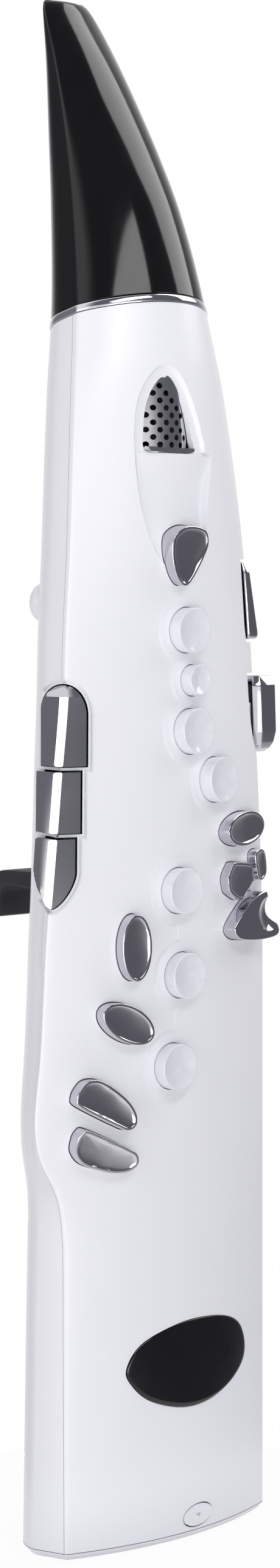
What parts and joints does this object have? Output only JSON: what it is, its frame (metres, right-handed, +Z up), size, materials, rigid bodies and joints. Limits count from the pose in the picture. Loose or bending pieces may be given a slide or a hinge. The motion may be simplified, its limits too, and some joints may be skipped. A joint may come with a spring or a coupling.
{
  "type": "digital wind controller",
  "caption": "Hand-held electronic wind instrument: a tapering white case with saxophone-style keys on its face and edges, a speaker and a black beak mouthpiece.",
  "frame": {"origin": "on the underside of the foot, midway between the two front edges", "axes": "+Z up along the case to the mouthpiece, playing face towards -Y, +X to the right of someone who looks at the face"},
  "size_m": [0.1354, 0.0951, 0.618],
  "materials": {
    "case_white": "glossy white plastic",
    "key_pearl": "pearly white plastic",
    "key_chrome": "polished chrome plating",
    "badge": "domed black gloss plate, left bare",
    "trim": "bright polished ring",
    "grille_metal": "polished perforated sheet metal",
    "mouthpiece_black": "polished black plastic",
    "black_rubber": "matt black rubber",
    "silicone": "soft grey silicone",
    "board_green": "green solder mask",
    "steel": "plain steel",
    "inner_black": "matt black plastic"
  },
  "bodies": {
    "case": {"side_switch_board": "board_green", "palm_frame": "inner_black", "speaker_grille": "grille_metal", "speaker_driver": "inner_black", "badge_plate": "badge", "case_screw_1": "steel", "case_screw_2": "steel", "case_screw_3": "steel", "case_screw_4": "steel", "case_screw_5": "steel", "case_screw_6": "steel", "front_shell": "case_white", "rear_shell": "case_white", "battery_pack": "inner_black", "foot_cap": "case_white", "line_out_socket": "inner_black", "headphone_socket": "inner_black", "usb_socket": "steel", "trim_ring": "trim", "neck_tube": "inner_black", "neck_seal": "black_rubber", "breath_tube": "silicone", "pressure_sensor": "inner_black", "main_board": "board_green", "contact_sheet_lower": "silicone", "upper_board": "board_green", "contact_sheet_upper": "silicone", "thumb_hook": "black_rubber", "thumb_rest": "black_rubber", "strap_ring": "steel"},
    "key_1": {"key_1": "key_pearl"},
    "key_2": {"key_2": "key_pearl"},
    "key_3": {"key_3": "key_pearl"},
    "key_4": {"key_4": "key_pearl"},
    "key_5": {"key_5": "key_pearl"},
    "key_6": {"key_6": "key_pearl"},
    "key_7": {"key_7": "key_pearl"},
    "side_oval_key": {"side_oval_key": "key_chrome"},
    "tilted_oval_key": {"tilted_oval_key": "key_chrome"},
    "low_key_upper": {"low_key_upper": "key_chrome"},
    "low_key_lower": {"low_key_lower": "key_chrome"},
    "almond_key": {"almond_key": "key_chrome"},
    "square_key": {"square_key": "key_chrome"},
    "slim_key": {"slim_key": "key_chrome"},
    "front_f_key": {"front_f_key": "key_chrome"},
    "wing_key": {"wing_key": "key_chrome"},
    "power_button": {"power_button": "case_white"},
    "side_key_upper": {"side_key_upper": "key_chrome"},
    "side_key_middle": {"side_key_middle": "key_chrome"},
    "side_key_lower": {"side_key_lower": "key_chrome"},
    "palm_key_upper": {"palm_key_upper": "key_chrome"},
    "palm_key_lower": {"palm_key_lower": "key_chrome"},
    "octave_up_key": {"octave_up_key": "case_white"},
    "octave_down_key": {"octave_down_key": "case_white"},
    "battery_cover": {"battery_cover": "case_white"},
    "mouthpiece": {"mouthpiece": "mouthpiece_black", "reed": "inner_black"}
  },
  "joints": [
    {"name": "key_1_press", "type": "slide", "parent": "case", "child": "key_1", "axis": [-0.0276, 0.9994, 0.02], "range_m": [0, 0.002], "stiffness_N_per_m": 250, "springref_m": -0.002},
    {"name": "key_2_press", "type": "slide", "parent": "case", "child": "key_2", "axis": [-0.048, 0.9981, -0.038], "range_m": [0, 0.002], "stiffness_N_per_m": 250, "springref_m": -0.002},
    {"name": "key_3_press", "type": "slide", "parent": "case", "child": "key_3", "axis": [-0.0389, 0.9982, -0.0453], "range_m": [0, 0.002], "stiffness_N_per_m": 250, "springref_m": -0.002},
    {"name": "key_4_press", "type": "slide", "parent": "case", "child": "key_4", "axis": [-0.1344, 0.9902, -0.0373], "range_m": [0, 0.002], "stiffness_N_per_m": 250, "springref_m": -0.002},
    {"name": "key_5_press", "type": "slide", "parent": "case", "child": "key_5", "axis": [-0.003, 1, -0.0054], "range_m": [0, 0.002], "stiffness_N_per_m": 250, "springref_m": -0.002},
    {"name": "key_6_press", "type": "slide", "parent": "case", "child": "key_6", "axis": [-0.0178, 0.9998, 0.0005], "range_m": [0, 0.002], "stiffness_N_per_m": 250, "springref_m": -0.002},
    {"name": "key_7_press", "type": "slide", "parent": "case", "child": "key_7", "axis": [0.0029, 1, -0.0002], "range_m": [0, 0.002], "stiffness_N_per_m": 250, "springref_m": -0.002},
    {"name": "side_oval_key_press", "type": "slide", "parent": "case", "child": "side_oval_key", "axis": [0.1242, 0.9922, -0.0057], "range_m": [0, 0.002], "stiffness_N_per_m": 250, "springref_m": -0.002},
    {"name": "tilted_oval_key_press", "type": "slide", "parent": "case", "child": "tilted_oval_key", "axis": [0.1373, 0.9905, -0.0068], "range_m": [0, 0.002], "stiffness_N_per_m": 250, "springref_m": -0.002},
    {"name": "low_key_upper_press", "type": "slide", "parent": "case", "child": "low_key_upper", "axis": [0.1678, 0.9857, -0.0125], "range_m": [0, 0.002], "stiffness_N_per_m": 250, "springref_m": -0.002},
    {"name": "low_key_lower_press", "type": "slide", "parent": "case", "child": "low_key_lower", "axis": [0.1877, 0.9794, 0.0746], "range_m": [0, 0.002], "stiffness_N_per_m": 250, "springref_m": -0.002},
    {"name": "almond_key_press", "type": "slide", "parent": "case", "child": "almond_key", "axis": [-0.2305, 0.9722, -0.0417], "range_m": [0, 0.002], "stiffness_N_per_m": 250, "springref_m": -0.002},
    {"name": "square_key_press", "type": "slide", "parent": "case", "child": "square_key", "axis": [-0.2058, 0.9786, -0.0079], "range_m": [0, 0.002], "stiffness_N_per_m": 250, "springref_m": -0.002},
    {"name": "slim_key_press", "type": "slide", "parent": "case", "child": "slim_key", "axis": [-0.2942, 0.9554, -0.0249], "range_m": [0, 0.002], "stiffness_N_per_m": 250, "springref_m": -0.002},
    {"name": "front_f_key_press", "type": "slide", "parent": "case", "child": "front_f_key", "axis": [-0.0028, 0.9978, 0.0655], "range_m": [0, 0.002], "stiffness_N_per_m": 250, "springref_m": -0.002},
    {"name": "wing_key_press", "type": "slide", "parent": "case", "child": "wing_key", "axis": [-0.2438, 0.9698, -0.0035], "range_m": [0, 0.002], "stiffness_N_per_m": 250, "springref_m": -0.002},
    {"name": "power_button_press", "type": "slide", "parent": "case", "child": "power_button", "axis": [-0.05, 0.9988, 0], "range_m": [0, 0.0008], "stiffness_N_per_m": 400, "springref_m": -0.002},
    {"name": "side_key_upper_press", "type": "slide", "parent": "case", "child": "side_key_upper", "axis": [0.7071, 0.7071, 0], "range_m": [0, 0.0018], "stiffness_N_per_m": 250, "springref_m": -0.002},
    {"name": "side_key_middle_press", "type": "slide", "parent": "case", "child": "side_key_middle", "axis": [0.7071, 0.7071, 0], "range_m": [0, 0.0018], "stiffness_N_per_m": 250, "springref_m": -0.002},
    {"name": "side_key_lower_press", "type": "slide", "parent": "case", "child": "side_key_lower", "axis": [0.7071, 0.7071, 0], "range_m": [0, 0.0018], "stiffness_N_per_m": 250, "springref_m": -0.002},
    {"name": "palm_key_upper_press", "type": "slide", "parent": "case", "child": "palm_key_upper", "axis": [-1, 0, 0], "range_m": [0, 0.0025], "stiffness_N_per_m": 250, "springref_m": -0.002},
    {"name": "palm_key_lower_press", "type": "slide", "parent": "case", "child": "palm_key_lower", "axis": [-1, 0, 0], "range_m": [0, 0.0025], "stiffness_N_per_m": 250, "springref_m": -0.002},
    {"name": "octave_up_key_press", "type": "slide", "parent": "case", "child": "octave_up_key", "axis": [0.4552, -0.8904, -0.0039], "range_m": [0, 0.0016], "stiffness_N_per_m": 250, "springref_m": -0.002},
    {"name": "octave_down_key_press", "type": "slide", "parent": "case", "child": "octave_down_key", "axis": [0.0402, -0.9989, 0.0233], "range_m": [0, 0.0016], "stiffness_N_per_m": 250, "springref_m": -0.002},
    {"name": "mouthpiece_pull", "type": "slide", "parent": "case", "child": "mouthpiece", "axis": [0, 0.2334, 0.9724], "range_m": [0, 0.035]},
    {"name": "battery_cover_lift", "type": "slide", "parent": "case", "child": "battery_cover", "axis": [0, 1, 0], "range_m": [0, 0.025]}
  ]
}
